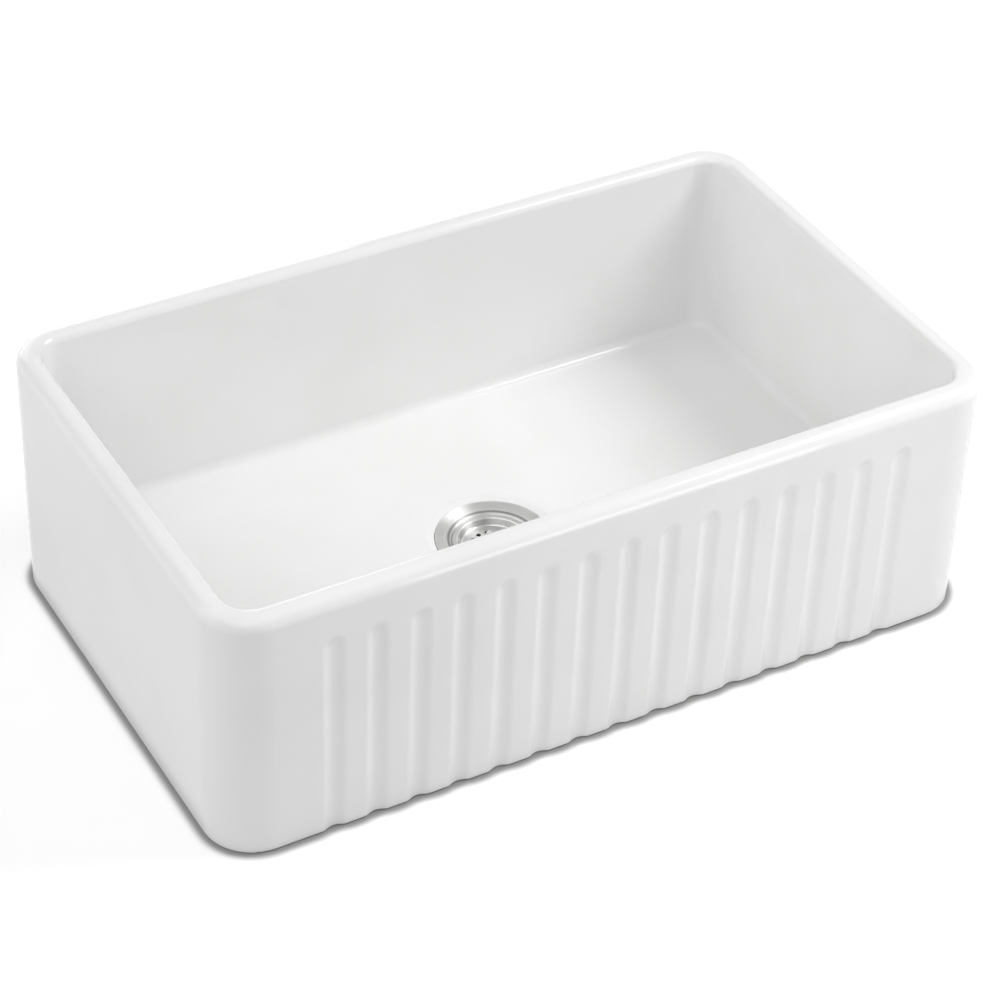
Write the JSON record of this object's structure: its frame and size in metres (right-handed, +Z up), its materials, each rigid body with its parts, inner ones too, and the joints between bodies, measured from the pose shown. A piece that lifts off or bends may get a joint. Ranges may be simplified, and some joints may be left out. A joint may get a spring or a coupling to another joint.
{
  "type": "farmhouse sink",
  "caption": "Rectangular single-bowl farmhouse sink with a fluted apron front, rounded rim, hollow underside and a lift-out basket strainer in its drain.",
  "frame": {"origin": "middle of the base, on the surface that the sink stands on; the drain's axis runs up through it", "axes": "+X to the right along the fluted apron, +Y from the apron to the back, +Z up"},
  "size_m": [0.762, 0.4572, 0.254],
  "materials": {
    "glaze": "gloss",
    "steel": "satin",
    "rubber": "matte",
    "fibre": "matte",
    "cast_nut": "satin",
    "spring_steel": "satin"
  },
  "bodies": {
    "sink": {"basin": "glaze", "strainer_body": "steel", "flange_seal": "rubber", "rubber_gasket": "rubber", "friction_washer": "fibre", "locknut": "cast_nut", "crosspiece": "steel"},
    "catch": {"spring_catch": "spring_steel"},
    "basket_unit": {"basket": "steel", "stopper": "rubber", "stopper_plate": "steel", "basket_post": "steel", "post_nut": "steel", "basket_knob": "steel"}
  },
  "joints": [
    {"name": "basket_lift", "type": "slide", "parent": "sink", "child": "catch", "axis": [0, 0, 1], "range_m": [0, 0.25]},
    {"name": "basket_turn", "type": "hinge", "parent": "catch", "child": "basket_unit", "pos_m": [0, 0, 0.042], "axis": [0, 0, 1], "continuous": true}
  ]
}
